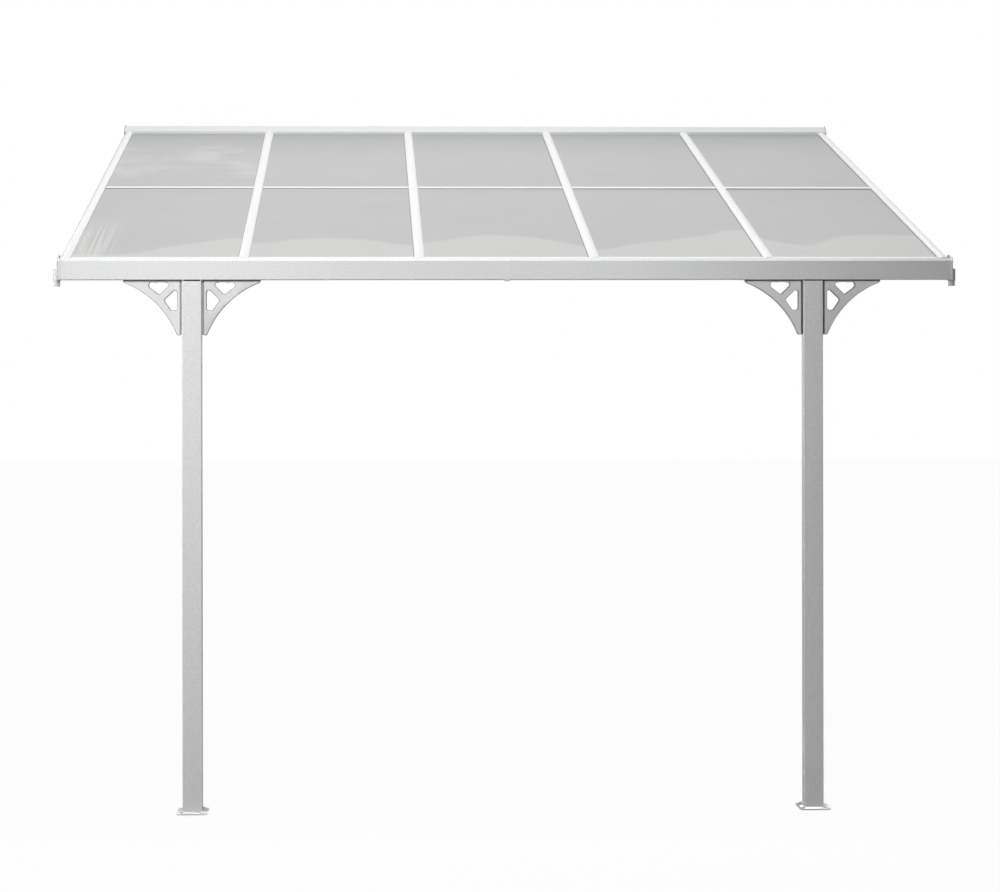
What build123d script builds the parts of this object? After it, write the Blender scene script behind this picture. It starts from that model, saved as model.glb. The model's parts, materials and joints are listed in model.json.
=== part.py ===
# Lean-to patio cover: a sloping roof of twin-wall sheets between aluminium rafters, hung from a
# wall rail at the back and carried by a gutter on two posts at the front.
# The origin is the middle of the rail's flat back, on the wall. X runs along the wall, Y into it, Z up.
from build123d import *
import os
from math import cos, radians, sin, sqrt, tan

# Overall layout
BAY_COUNT = 5
BAY_PITCH = 610.0
ROOF_REACH = 2950.0
ROOF_SLOPE = 12.5
MOUNT_HEIGHT = 2535.0

# Roof sheets and the profiles that join and close them
SHEET_THICKNESS = 8.0
SHEET_TOP_AT_WALL = 31.0
SHEET_EDGE_GAP = 2.5
SHEET_BACK_GAP = 12.0
SHEET_FRONT_SETBACK = 45.0
JOINT_FLANGE = 38.0
JOINT_WALL = 2.0
END_PROFILE_DEPTH = 20.0
END_PROFILE_WALL = 1.5
PROFILE_SIDE_GAP = 1.0

# Rafters and their caps
RAFTER_WIDTH = 34.0
SIDE_RAFTER_WIDTH = 28.0
RAFTER_DEPTH = 46.0
RAFTER_WALL = 2.0
RAFTER_CORNER = 1.5
STEM_WIDTH = 7.0
STEM_SLOT_WIDTH = 3.0
STEM_SLOT_DEPTH = 6.5
STEM_TOP_GAP = 0.5
CAP_WIDTH = 34.5
SIDE_CAP_WIDTH = 30.0
SIDE_CAP_SHIFT = 4.0
CAP_RISE = 10.0
CAP_SHOULDER = 4.5
CAP_WALL = 2.0
CAP_TONGUE_WIDTH = 2.6
CAP_TONGUE_DEPTH = 5.5
RAFTER_FRONT_SETBACK = 17.0
RAFTER_BACK_GAP = 2.5

# Wall rail
RAIL_OVERHANG = 4.0
RAIL_HEIGHT = 110.0
RAIL_WALL = 2.5
RAIL_TOP_DEPTH = 22.0
RAIL_HOOD_REACH = 60.0
RAIL_HOOD_SHOULDER = 12.0
RAIL_SHELF_REACH = 50.0
RAIL_CAP_THICKNESS = 3.0
RAIL_CAP_OVERHANG = 3.0
RAIL_BEND = 3.0
KEY_BEND = 0.2
KEY_CHANNEL_HEIGHT = 40.0
KEY_CHANNEL_DEPTH = 3.0
KEY_PLATE_LENGTH = 160.0
KEY_PLATE_GAP = 0.3
WALL_HOLE_COUNT = 6
WALL_HOLE_END_INSET = 328.0
WALL_HOLE_RADIUS = 4.0
WALL_HOLE_EDGE = 12.0
HOOD_STOP_GAP = 1.0

# Gutter
GUTTER_OVERHANG = 9.5
GUTTER_HEIGHT = 75.0
GUTTER_DEPTH = 90.0
GUTTER_WALL = 2.0
GUTTER_BEND = 2.5
LIP_HEIGHT = 10.0
LIP_DEPTH = 8.0
HEM_DEPTH = 6.0
HEM_DROP = 7.0
SEAT_FLANGE = 20.0
GUTTER_CAP_THICKNESS = 4.0
GUTTER_CAP_EAR = 62.0
GUTTER_CAP_OVERHANG = 2.0
SPOUT_RADIUS = 11.5
SPOUT_BORE = 9.0
SPOUT_OFFSET = 3.5
SPOUT_DROP = 20.0
POCKET_RADIUS = 13.5
POCKET_RISE = 36.0
POCKET_ROOF_RISE = 8.0
POCKET_WALL = 2.0
JOINER_WIDTH = 17.0
JOINER_WALL = 1.5
JOINER_FLOOR = 4.0

# Posts, heads and feet
POST_WIDTH = 68.0
POST_DEPTH = 54.0
POST_WALL = 2.0
POST_CORNER = 3.0
LEFT_POST_INSET = 459.0
RIGHT_POST_INSET = 484.0
POST_HEAD_GAP = 4.5
HEAD_PLUG_DEPTH = 45.0
HEAD_NECK_INSET = 4.0
HEAD_RIM = 1.5
PLUG_CLEARANCE = 0.3
FOOT_WIDTH = 105.0
FOOT_DEPTH = 144.0
FOOT_THICKNESS = 5.0
FOOT_CORNER = 12.0
FOOT_STUB_HEIGHT = 120.0
FOOT_STUB_WALL = 3.0
FOOT_HOLE_RADIUS = 5.0
FOOT_HOLE_SPACING_X = 72.0
FOOT_HOLE_SPACING_Y = 106.0

# Arched brackets
BRACKET_REACH = 205.0
BRACKET_DROP = 192.0
BRACKET_THICKNESS = 30.0
BRACKET_TOP_GAP = 4.5
BRACKET_SIDE_GAP = 6.5
BRACKET_TIP_SLANT = 6.0
BRACKET_TIP_DEPTH = 6.0
BRACKET_TOE_WIDTH = 11.0
BRACKET_TOE_CORNER = 9.0
ARCH_RADIUS = 314.5
TONGUE_THICKNESS = 20.0
TONGUE_OVERLAP = 2.0
TONGUE_SETBACK = 2.0
WINDOW_TOP_STRIP = 3.5
WINDOW_SIDE_STRIP = 9.8
TOP_WINDOW_START = 27.0
TOP_WINDOW_LENGTH = 81.0
TOP_WINDOW_END = 16.3
TOP_WINDOW_POINT = (71.5, 47.3)
SIDE_WINDOW_START = 20.0
SIDE_WINDOW_LENGTH = 81.0
SIDE_WINDOW_END = 21.7
SIDE_WINDOW_POINT = (56.0, 65.3)
WINDOW_CORNER = 8.5

# Cutting shapes reach past what they cut by this factor
CUT_REACH = 4.0

# Places worked out from the sizes above
SLOPE = radians(ROOF_SLOPE)
GUTTER_FRONT_Y = -ROOF_REACH
GUTTER_BACK_Y = GUTTER_FRONT_Y + GUTTER_DEPTH
POST_Y = GUTTER_FRONT_Y + GUTTER_DEPTH / 2
GROUND_Z = -MOUNT_HEIGHT
SHEET_BACK_Y = -SHEET_BACK_GAP
SHEET_FRONT_Y = GUTTER_FRONT_Y + SHEET_FRONT_SETBACK
MID_JOINT_Y = (SHEET_BACK_Y + SHEET_FRONT_Y) / 2
RAFTER_BACK_Y = -RAIL_WALL - KEY_CHANNEL_DEPTH - RAFTER_BACK_GAP
RAFTER_FRONT_Y = GUTTER_FRONT_Y + RAFTER_FRONT_SETBACK
RAFTER_UNDERSIDE = -SHEET_THICKNESS - RAFTER_DEPTH
CAP_BACK_Y = -RAIL_HOOD_REACH - HOOD_STOP_GAP
SHEET_HALF_WIDTH = (BAY_PITCH - STEM_WIDTH) / 2 - SHEET_EDGE_GAP
RAFTER_XS = [(i - BAY_COUNT / 2) * BAY_PITCH for i in range(BAY_COUNT + 1)]
ROOF_WIDTH = BAY_COUNT * BAY_PITCH + SIDE_CAP_WIDTH + 2 * SIDE_CAP_SHIFT
RAIL_LENGTH = ROOF_WIDTH + 2 * RAIL_OVERHANG
GUTTER_LENGTH = ROOF_WIDTH + 2 * GUTTER_OVERHANG
POST_XS = {"left": LEFT_POST_INSET - GUTTER_LENGTH / 2, "right": GUTTER_LENGTH / 2 - RIGHT_POST_INSET}
SIDES = {"left": -1, "right": 1}
DOWNHILL = (0, -cos(SLOPE), -sin(SLOPE))
UPHILL = (0, cos(SLOPE), sin(SLOPE))


def roof_height(y, above=0.0):
    """Height at y of the sheets' top face, or of a plane that lies parallel to it."""
    return SHEET_TOP_AT_WALL + y * tan(SLOPE) + above / cos(SLOPE)


LIP_TOP_Z = roof_height(SHEET_FRONT_Y)
GUTTER_BOTTOM_Z = LIP_TOP_Z - GUTTER_HEIGHT
RAIL_TOP_Z = RAIL_HEIGHT / 2
RAIL_BOTTOM_Z = -RAIL_HEIGHT / 2
WALL_HOLE_Z = RAIL_BOTTOM_Z + WALL_HOLE_EDGE
POST_TOP_Z = GUTTER_BOTTOM_Z - POST_HEAD_GAP
POST_FOOT_Z = GROUND_Z + FOOT_THICKNESS


def across_roof(x, y):
    """Plane square to the slope at x, y: local X across the roof, local Y out of it, extruding downhill."""
    return Plane(origin=(x, y, roof_height(y)), x_dir=(1, 0, 0), z_dir=DOWNHILL)


def along_roof(x, y):
    """Plane through x, y that shows the slope from the side: local X uphill, local Y out of the roof."""
    return Plane(origin=(x, y, roof_height(y)), x_dir=UPHILL, z_dir=(1, 0, 0))


def strip(points, bend, wall):
    """Section of a bent profile: a wall laid on the left of a line of points with rounded bends."""
    return make_face(offset(FilletPolyline(*points, radius=bend), amount=wall, side=Side.LEFT))


def run_along_wall(section, x_start, x_end):
    """Extrude a section drawn in Y and Z from one x to another."""
    return extrude(Plane.YZ.offset(x_start) * section, x_end - x_start, dir=(1, 0, 0))


def plumb_cut(bar, y_front, y_back):
    """Keep the stretch of a sloping bar between two upright planes."""
    reach = CUT_REACH * ROOF_REACH
    return bar & Pos(0, (y_front + y_back) / 2, 0) * Box(reach, y_back - y_front, reach)


def slope_bar(section, x, y_front, y_back):
    """Bar of a section that follows the slope, cut upright at both ends."""
    spare = RAFTER_DEPTH + RAFTER_WIDTH
    length = (y_back - y_front + 2 * spare) / cos(SLOPE)
    return plumb_cut(extrude(across_roof(x, y_back + spare) * section, length), y_front, y_back)


def box_section(x, y, width, depth, corner):
    """Rounded rectangle with its middle at x, y."""
    return Pos(x, y) * RectangleRounded(width, depth, corner)


def rafter_section(width, shift):
    """Hollow box under the sheets, its middle shifted from a slotted stem that stands between them."""
    middle = -SHEET_THICKNESS - RAFTER_DEPTH / 2
    outer = box_section(shift, middle, width, RAFTER_DEPTH, RAFTER_CORNER)
    hollow = Pos(shift, middle) * Rectangle(width - 2 * RAFTER_WALL, RAFTER_DEPTH - 2 * RAFTER_WALL)
    stem_height = SHEET_THICKNESS - STEM_TOP_GAP + RAFTER_WALL / 2
    stem = Pos(0, -STEM_TOP_GAP - stem_height / 2) * Rectangle(STEM_WIDTH, stem_height)
    slot = Pos(0, -STEM_TOP_GAP - STEM_SLOT_DEPTH / 2) * Rectangle(STEM_SLOT_WIDTH, STEM_SLOT_DEPTH)
    return outer + stem - hollow - slot


def crown(width, shoulder, rise):
    """Face with a flat foot, upright shoulders and an arched top."""
    half = width / 2
    sides = Polyline((-half, shoulder), (-half, 0), (half, 0), (half, shoulder))
    return make_face(sides + ThreePointArc((half, shoulder), (0, rise), (-half, shoulder)))


def cap_section(width, shift):
    """Arched cap that presses on the sheets, shifted from a tongue that fits the rafter's slot."""
    inner = crown(width - 2 * CAP_WALL, CAP_SHOULDER - CAP_WALL, CAP_RISE - CAP_WALL)
    tongue_top = CAP_RISE - CAP_WALL / 2
    tongue_height = tongue_top + CAP_TONGUE_DEPTH
    tongue = Pos(0, tongue_top - tongue_height / 2) * Rectangle(CAP_TONGUE_WIDTH, tongue_height)
    return Pos(shift, 0) * (crown(width, CAP_SHOULDER, CAP_RISE) - inner) + tongue


def bay_middle(bay):
    """X of the middle of a bay, counted from 0 at the left."""
    return (RAFTER_XS[bay] + RAFTER_XS[bay + 1]) / 2


def clear_span(bay):
    """Lowest and highest x that the caps and rafters on both sides of a bay leave free."""
    half_cap = max(CAP_WIDTH, RAFTER_WIDTH) / 2
    half_side_cap = max(SIDE_CAP_WIDTH, SIDE_RAFTER_WIDTH) / 2 - SIDE_CAP_SHIFT
    low = RAFTER_XS[bay] + (half_cap if bay > 0 else half_side_cap)
    high = RAFTER_XS[bay + 1] - (half_cap if bay < BAY_COUNT - 1 else half_side_cap)
    return low + PROFILE_SIDE_GAP, high - PROFILE_SIDE_GAP


def sheet(bay, y_front, y_back):
    """One roof sheet of a bay, its ends square to the slope."""
    section = Pos(0, -SHEET_THICKNESS / 2) * Rectangle(2 * SHEET_HALF_WIDTH, SHEET_THICKNESS)
    return extrude(across_roof(bay_middle(bay), y_back) * section, (y_back - y_front) / cos(SLOPE))


def mid_joint(bay):
    """H profile that holds the two sheets of a bay end to end."""
    low, high = clear_span(bay)
    web = Pos(0, -SHEET_THICKNESS / 2) * Rectangle(JOINT_WALL, SHEET_THICKNESS + JOINT_WALL)
    top = Pos(0, JOINT_WALL / 2) * Rectangle(JOINT_FLANGE, JOINT_WALL)
    bottom = Pos(0, -SHEET_THICKNESS - JOINT_WALL / 2) * Rectangle(JOINT_FLANGE, JOINT_WALL)
    return extrude(along_roof(low, MID_JOINT_Y) * (web + top + bottom), high - low)


def end_profile(bay):
    """U profile that closes the lower end of a front sheet."""
    low, high = clear_span(bay)
    outside = SHEET_THICKNESS + 2 * END_PROFILE_WALL
    reach = END_PROFILE_DEPTH + END_PROFILE_WALL
    middle = -SHEET_THICKNESS / 2
    block = Pos((END_PROFILE_DEPTH - END_PROFILE_WALL) / 2, middle) * Rectangle(reach, outside)
    groove = Pos(END_PROFILE_DEPTH / 2, middle) * Rectangle(END_PROFILE_DEPTH, SHEET_THICKNESS)
    return extrude(along_roof(low, SHEET_FRONT_Y) * (block - groove), high - low)


def rail_outline():
    """Face of the wall rail: keyed back and rounded top, with a hood that comes down on the sheets."""
    key = KEY_CHANNEL_HEIGHT / 2
    lip_z = roof_height(-RAIL_HOOD_REACH)
    back = [(0, RAIL_BOTTOM_Z), (0, -key), (-KEY_CHANNEL_DEPTH, -key), (-KEY_CHANNEL_DEPTH, key), (0, key)]
    hood = [(0, RAIL_TOP_Z), (-RAIL_TOP_DEPTH, RAIL_TOP_Z), (-RAIL_HOOD_REACH, lip_z + RAIL_HOOD_SHOULDER)]
    end = (-RAIL_HOOD_REACH, lip_z - RAIL_WALL)
    bends = [KEY_BEND] * 4 + [RAIL_BEND, RAIL_TOP_DEPTH, RAIL_HOOD_SHOULDER / 2]
    outline = FilletPolyline(*back, *hood, end, radius=bends)
    return make_face(offset(outline, amount=RAIL_WALL, side=Side.LEFT))


def below_roof():
    """Face that takes in all that lies under the sheets' top, in front of the rail's back."""
    back = -RAIL_WALL - KEY_CHANNEL_DEPTH
    front = -CUT_REACH * RAIL_HOOD_REACH
    low = -CUT_REACH * RAIL_HEIGHT
    top = [(back, roof_height(back)), (front, roof_height(front))]
    return Polygon(*top, (front, low), (back, low), align=None)


def rail_section():
    """Wall rail's section: the bent back and hood, and a sloping shelf under the rafters."""
    root = -RAIL_WALL / 2
    root_z = roof_height(root, RAFTER_UNDERSIDE)
    edge_z = roof_height(-RAIL_SHELF_REACH, RAFTER_UNDERSIDE)
    drop = RAIL_WALL / cos(SLOPE)
    top = [(root, root_z), (-RAIL_SHELF_REACH, edge_z)]
    bottom = [(-RAIL_SHELF_REACH, edge_z - drop), (root, root_z - drop)]
    return rail_outline() - below_roof() + Polygon(*top, *bottom, align=None)


def wall_hole_xs():
    """X of each screw hole along the wall rail."""
    spacing = (RAIL_LENGTH - 2 * WALL_HOLE_END_INSET) / (WALL_HOLE_COUNT - 1)
    return [(i - (WALL_HOLE_COUNT - 1) / 2) * spacing for i in range(WALL_HOLE_COUNT)]


def wall_rail(side):
    """One half of the wall rail, from the middle to its end, with its screw holes."""
    low, high = sorted((0, side * RAIL_LENGTH / 2))
    rail = run_along_wall(rail_section(), low, high)
    drill = Rot(90, 0, 0) * Cylinder(WALL_HOLE_RADIUS, CUT_REACH * RAIL_WALL)
    for x in wall_hole_xs():
        if x * side > 0:
            rail -= Pos(x, -RAIL_WALL / 2, WALL_HOLE_Z) * drill
    return rail


def key_plate():
    """Plate in the rail's back channel that lines up its two halves."""
    height = KEY_CHANNEL_HEIGHT - 2 * KEY_PLATE_GAP
    return Pos(0, -KEY_CHANNEL_DEPTH / 2, 0) * Box(KEY_PLATE_LENGTH, KEY_CHANNEL_DEPTH, height)


def rail_cap(side):
    """Plate that closes one end of the wall rail and stands a little proud of its top and hood."""
    top_z = RAIL_TOP_Z + RAIL_CAP_OVERHANG
    front = -RAIL_HOOD_REACH - RAIL_CAP_OVERHANG
    lip_z = roof_height(-RAIL_HOOD_REACH)
    shelf_z = roof_height(-RAIL_SHELF_REACH, RAFTER_UNDERSIDE)
    top = [(0, RAIL_BOTTOM_Z), (0, top_z), (-RAIL_TOP_DEPTH, top_z)]
    hood = [(front, lip_z + RAIL_HOOD_SHOULDER), (front, lip_z)]
    shelf = [(-RAIL_SHELF_REACH, shelf_z - RAIL_WALL), (-RAIL_TOP_DEPTH, RAIL_BOTTOM_Z)]
    face = Polygon(*top, *hood, *shelf, align=None)
    low, high = sorted((side * RAIL_LENGTH / 2, side * (RAIL_LENGTH / 2 + RAIL_CAP_THICKNESS)))
    return run_along_wall(face, low, high)


def seat_height(y):
    """Height at y of the underside of the flange that the rafters rest on."""
    return roof_height(y, RAFTER_UNDERSIDE - GUTTER_WALL)


def gutter_line():
    """Outside of the gutter's section: hem, lip, front, bottom, back and the flange under the rafters."""
    hem_y = GUTTER_FRONT_Y + LIP_DEPTH + HEM_DEPTH
    flange_end = GUTTER_BACK_Y + SEAT_FLANGE
    lip = [(hem_y, LIP_TOP_Z - HEM_DROP), (hem_y, LIP_TOP_Z), (GUTTER_FRONT_Y + LIP_DEPTH, LIP_TOP_Z)]
    front = [(GUTTER_FRONT_Y, LIP_TOP_Z - LIP_HEIGHT), (GUTTER_FRONT_Y, GUTTER_BOTTOM_Z)]
    back = [(GUTTER_BACK_Y, GUTTER_BOTTOM_Z), (GUTTER_BACK_Y, seat_height(GUTTER_BACK_Y))]
    return [*lip, *front, *back, (flange_end, seat_height(flange_end))]


def gutter(side):
    """One half of the gutter, from the middle joint to its end."""
    low, high = sorted((0, side * GUTTER_LENGTH / 2))
    return run_along_wall(strip(gutter_line(), GUTTER_BEND, GUTTER_WALL), low, high)


def cap_plate(side):
    """Plate that closes one end of the gutter, with an ear up the side rafter."""
    over = GUTTER_CAP_OVERHANG
    low_z = GUTTER_BOTTOM_Z - over
    front = GUTTER_FRONT_Y - over
    back = GUTTER_BACK_Y + over
    ear_z = LIP_TOP_Z + GUTTER_CAP_EAR * tan(SLOPE)
    lip = [(front, low_z), (front, LIP_TOP_Z - LIP_HEIGHT), (GUTTER_FRONT_Y + LIP_DEPTH, LIP_TOP_Z + over)]
    ear = [(GUTTER_FRONT_Y + GUTTER_CAP_EAR, ear_z), (back, ear_z - over), (back, low_z)]
    inner_x = side * GUTTER_LENGTH / 2
    low, high = sorted((inner_x, inner_x + side * GUTTER_CAP_THICKNESS))
    return run_along_wall(Polygon(*lip, *ear, align=None), low, high)


def spout_x(side):
    """X of the axis of a gutter cap's pocket and spout, just outside the cap."""
    return side * (GUTTER_LENGTH / 2 + GUTTER_CAP_THICKNESS + SPOUT_OFFSET)


def pocket_shape(side, radius, roof_z):
    """Round column outside the gutter's end, with a roof that falls away from the cap."""
    inner_x = side * GUTTER_LENGTH / 2
    axis_x = spout_x(side)
    foot_z = GUTTER_BOTTOM_Z - GUTTER_CAP_OVERHANG
    reach = axis_x + side * radius
    low, high = sorted((POST_Y - radius, POST_Y + radius))
    roof = [(inner_x, roof_z + POCKET_ROOF_RISE), (reach, roof_z), (reach, foot_z), (inner_x, foot_z)]
    wedge = extrude(Plane.XZ.offset(-high) * Polygon(*roof, align=None), high - low, dir=(0, -1, 0))
    height = roof_z + POCKET_ROOF_RISE - foot_z
    return wedge & Pos(axis_x, POST_Y, foot_z + height / 2) * Cylinder(radius, height)


def gutter_cap(side):
    """End cap of the gutter: plate, round pocket that takes the water and a spout for a hose."""
    axis_x = spout_x(side)
    spout_top = GUTTER_BOTTOM_Z - GUTTER_CAP_OVERHANG
    roof_z = GUTTER_BOTTOM_Z + POCKET_RISE
    pocket = pocket_shape(side, POCKET_RADIUS, roof_z)
    collar = Pos(axis_x, POST_Y, spout_top - POCKET_WALL / 2) * Cylinder(POCKET_RADIUS, POCKET_WALL)
    spout = Pos(axis_x, POST_Y, spout_top - SPOUT_DROP / 2) * Cylinder(SPOUT_RADIUS, SPOUT_DROP)
    hollow = pocket_shape(side, POCKET_RADIUS - POCKET_WALL, roof_z - POCKET_WALL)
    bore = Pos(axis_x, POST_Y, spout_top - SPOUT_DROP / 2) * Cylinder(SPOUT_BORE, SPOUT_DROP)
    return cap_plate(side) + pocket + collar + spout - hollow - bore


def gutter_joiner():
    """Band that wraps the middle joint from the lip, down the front and under the trough to its back."""
    lip_y = GUTTER_FRONT_Y + LIP_DEPTH
    front = GUTTER_FRONT_Y - JOINER_WALL
    back = GUTTER_BACK_Y + JOINER_WALL
    low_z = GUTTER_BOTTOM_Z - JOINER_FLOOR
    top_z = seat_height(GUTTER_BACK_Y) - GUTTER_BEND
    shoulder_z = LIP_TOP_Z - LIP_HEIGHT
    outside = [(lip_y, LIP_TOP_Z + JOINER_WALL), (front, shoulder_z), (front, low_z), (back, low_z)]
    ends = [(back, top_z), (GUTTER_BACK_Y, top_z), (GUTTER_BACK_Y, LIP_TOP_Z), (lip_y, LIP_TOP_Z)]
    front_face = [(lip_y, LIP_TOP_Z), (GUTTER_FRONT_Y, shoulder_z), (GUTTER_FRONT_Y, GUTTER_BOTTOM_Z)]
    back_face = [(GUTTER_BACK_Y, GUTTER_BOTTOM_Z), (GUTTER_BACK_Y, LIP_TOP_Z)]
    band = Polygon(*outside, *ends, align=None) - Polygon(*front_face, *back_face, align=None)
    return run_along_wall(band, -JOINER_WIDTH / 2, JOINER_WIDTH / 2)


def post(x):
    """Square-edged tube from the foot plate up to the head."""
    outer = RectangleRounded(POST_WIDTH, POST_DEPTH, POST_CORNER)
    inner = RectangleRounded(POST_WIDTH - 2 * POST_WALL, POST_DEPTH - 2 * POST_WALL, POST_CORNER - POST_WALL)
    return extrude(Plane(origin=(x, POST_Y, POST_FOOT_Z)) * (outer - inner), POST_TOP_Z - POST_FOOT_Z)


def plug_size(clearance):
    """Width and depth of a plug that stands in a post with a clearance on each side."""
    inset = 2 * (POST_WALL + clearance)
    return POST_WIDTH - inset, POST_DEPTH - inset


def post_head(x):
    """Plug in the top of a post, with a rim on the tube and a neck up to the gutter."""
    neck_height = POST_HEAD_GAP - HEAD_RIM
    plug = Pos(x, POST_Y, POST_TOP_Z - HEAD_PLUG_DEPTH / 2) * Box(*plug_size(PLUG_CLEARANCE), HEAD_PLUG_DEPTH)
    rim = Pos(x, POST_Y, POST_TOP_Z + HEAD_RIM / 2) * Box(*plug_size(-POST_WALL / 2), HEAD_RIM)
    neck = Pos(x, POST_Y, GUTTER_BOTTOM_Z - neck_height / 2) * Box(*plug_size(HEAD_NECK_INSET), neck_height)
    return plug + rim + neck


def foot(x):
    """Ground plate with four anchor holes and a stub that the post slides over."""
    outline = RectangleRounded(FOOT_WIDTH, FOOT_DEPTH, FOOT_CORNER)
    plate = extrude(Plane(origin=(x, POST_Y, GROUND_Z)) * outline, FOOT_THICKNESS)
    stub_face = Rectangle(*plug_size(PLUG_CLEARANCE)) - Rectangle(*plug_size(PLUG_CLEARANCE + FOOT_STUB_WALL))
    stub = extrude(Plane(origin=(x, POST_Y, POST_FOOT_Z)) * stub_face, FOOT_STUB_HEIGHT)
    drill = Cylinder(FOOT_HOLE_RADIUS, CUT_REACH * FOOT_THICKNESS)
    spots = GridLocations(FOOT_HOLE_SPACING_X, FOOT_HOLE_SPACING_Y, 2, 2)
    return plate + stub - [Pos(x, POST_Y, GROUND_Z) * spot * drill for spot in spots]


def window(corners):
    """Opening with rounded corners, measured out and down from a bracket's inner corner."""
    spots = [(BRACKET_SIDE_GAP + out, -BRACKET_TOP_GAP - down) for out, down in corners]
    opening = Polygon(*spots, align=None)
    return fillet(opening.vertices(), WINDOW_CORNER)


def bracket_face():
    """Front of a bracket: two straight edges, an arch that meets them at tip and toe, and two windows."""
    tip = (BRACKET_REACH - BRACKET_TIP_SLANT, -BRACKET_TOP_GAP - BRACKET_TIP_DEPTH)
    toe = (BRACKET_SIDE_GAP + BRACKET_TOE_WIDTH, -BRACKET_DROP)
    top = [tip, (BRACKET_REACH, -BRACKET_TOP_GAP), (BRACKET_SIDE_GAP, -BRACKET_TOP_GAP)]
    sides = Polyline(*top, (BRACKET_SIDE_GAP, -BRACKET_DROP), toe)
    face = make_face(sides + RadiusArc(toe, tip, ARCH_RADIUS))
    face = fillet(face.vertices().sort_by_distance(toe)[0], BRACKET_TOE_CORNER)
    top_end = TOP_WINDOW_START + TOP_WINDOW_LENGTH
    side_end = SIDE_WINDOW_START + SIDE_WINDOW_LENGTH
    top_line = [(TOP_WINDOW_START, WINDOW_TOP_STRIP), (top_end, WINDOW_TOP_STRIP)]
    top_cut = (top_end, WINDOW_TOP_STRIP + TOP_WINDOW_END)
    side_line = [(WINDOW_SIDE_STRIP, SIDE_WINDOW_START), (WINDOW_SIDE_STRIP, side_end)]
    side_cut = (WINDOW_SIDE_STRIP + SIDE_WINDOW_END, side_end)
    top_window = window([*top_line, top_cut, TOP_WINDOW_POINT])
    side_window = window([*side_line, side_cut, SIDE_WINDOW_POINT])
    return face - top_window - side_window


def tongue_face():
    """Front of the set-back tongue that fills a bracket's shadow gaps to the gutter and the post."""
    end_x = BRACKET_REACH - TONGUE_SETBACK
    end_z = -BRACKET_DROP + TONGUE_SETBACK
    inner_x = BRACKET_SIDE_GAP + TONGUE_OVERLAP
    inner_z = -BRACKET_TOP_GAP - TONGUE_OVERLAP
    top = Polygon((0, 0), (end_x, 0), (end_x, inner_z), (0, inner_z), align=None)
    return top + Polygon((0, 0), (inner_x, 0), (inner_x, end_z), (0, end_z), align=None)


def bracket(x, side):
    """Arched bracket between a post and the gutter, with two cut-out windows and a set-back tongue."""
    corner = (x + side * POST_WIDTH / 2, POST_Y, GUTTER_BOTTOM_Z)
    seat = Plane(origin=corner, x_dir=(side, 0, 0), z_dir=(0, -side, 0))
    body = extrude(seat * bracket_face(), BRACKET_THICKNESS / 2, both=True)
    return body + extrude(seat * tongue_face(), TONGUE_THICKNESS / 2, both=True)


def build():
    """Every piece of the cover by name."""
    pieces = {}
    for name, side in SIDES.items():
        pieces[f"wall_rail_{name}"] = wall_rail(side)
        pieces[f"wall_rail_cap_{name}"] = rail_cap(side)
        pieces[f"gutter_{name}"] = gutter(side)
        pieces[f"gutter_cap_{name}"] = gutter_cap(side)
    pieces["wall_rail_key"] = key_plate()
    pieces["gutter_joiner"] = gutter_joiner()
    rafter_names = ["rafter_left", *[f"rafter_{i}" for i in range(1, BAY_COUNT)], "rafter_right"]
    shifts = [-SIDE_CAP_SHIFT, *[0.0] * (BAY_COUNT - 1), SIDE_CAP_SHIFT]
    for x, name, shift in zip(RAFTER_XS, rafter_names, shifts):
        width = SIDE_RAFTER_WIDTH if shift else RAFTER_WIDTH
        cap_width = SIDE_CAP_WIDTH if shift else CAP_WIDTH
        pieces[name] = slope_bar(rafter_section(width, shift), x, RAFTER_FRONT_Y, RAFTER_BACK_Y)
        pieces[f"{name}_cap"] = slope_bar(cap_section(cap_width, shift), x, RAFTER_FRONT_Y, CAP_BACK_Y)
    half_web = JOINT_WALL / 2 * cos(SLOPE)
    for bay in range(BAY_COUNT):
        pieces[f"roof_sheet_back_{bay + 1}"] = sheet(bay, MID_JOINT_Y + half_web, SHEET_BACK_Y)
        pieces[f"roof_sheet_front_{bay + 1}"] = sheet(bay, SHEET_FRONT_Y, MID_JOINT_Y - half_web)
    pieces["mid_joints"] = Compound([mid_joint(bay) for bay in range(BAY_COUNT)])
    pieces["end_profiles"] = Compound([end_profile(bay) for bay in range(BAY_COUNT)])
    for name, x in POST_XS.items():
        pieces[f"post_{name}"] = post(x)
        pieces[f"post_head_{name}"] = post_head(x)
        pieces[f"foot_{name}"] = foot(x)
        pieces[f"bracket_{name}_outer"] = bracket(x, SIDES[name])
        pieces[f"bracket_{name}_inner"] = bracket(x, -SIDES[name])
    return pieces


os.makedirs("parts", exist_ok=True)
for piece_name, piece in build().items():
    export_step(piece, f"parts/{piece_name}.step")
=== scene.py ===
# %% [markdown]
# # A lean-to patio cover
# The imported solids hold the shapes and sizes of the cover: rafters, sheets, wall rail, gutter, posts and
# brackets. This lesson dresses them. It gives each part its finish, adds the small things that a fitter
# would add on site, such as seals, screws and plugs, and lights the cover like a catalogue picture.

# %% Load the frame
import bpy
import bmesh
import json
import math
from mathutils import Matrix, Vector


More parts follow.
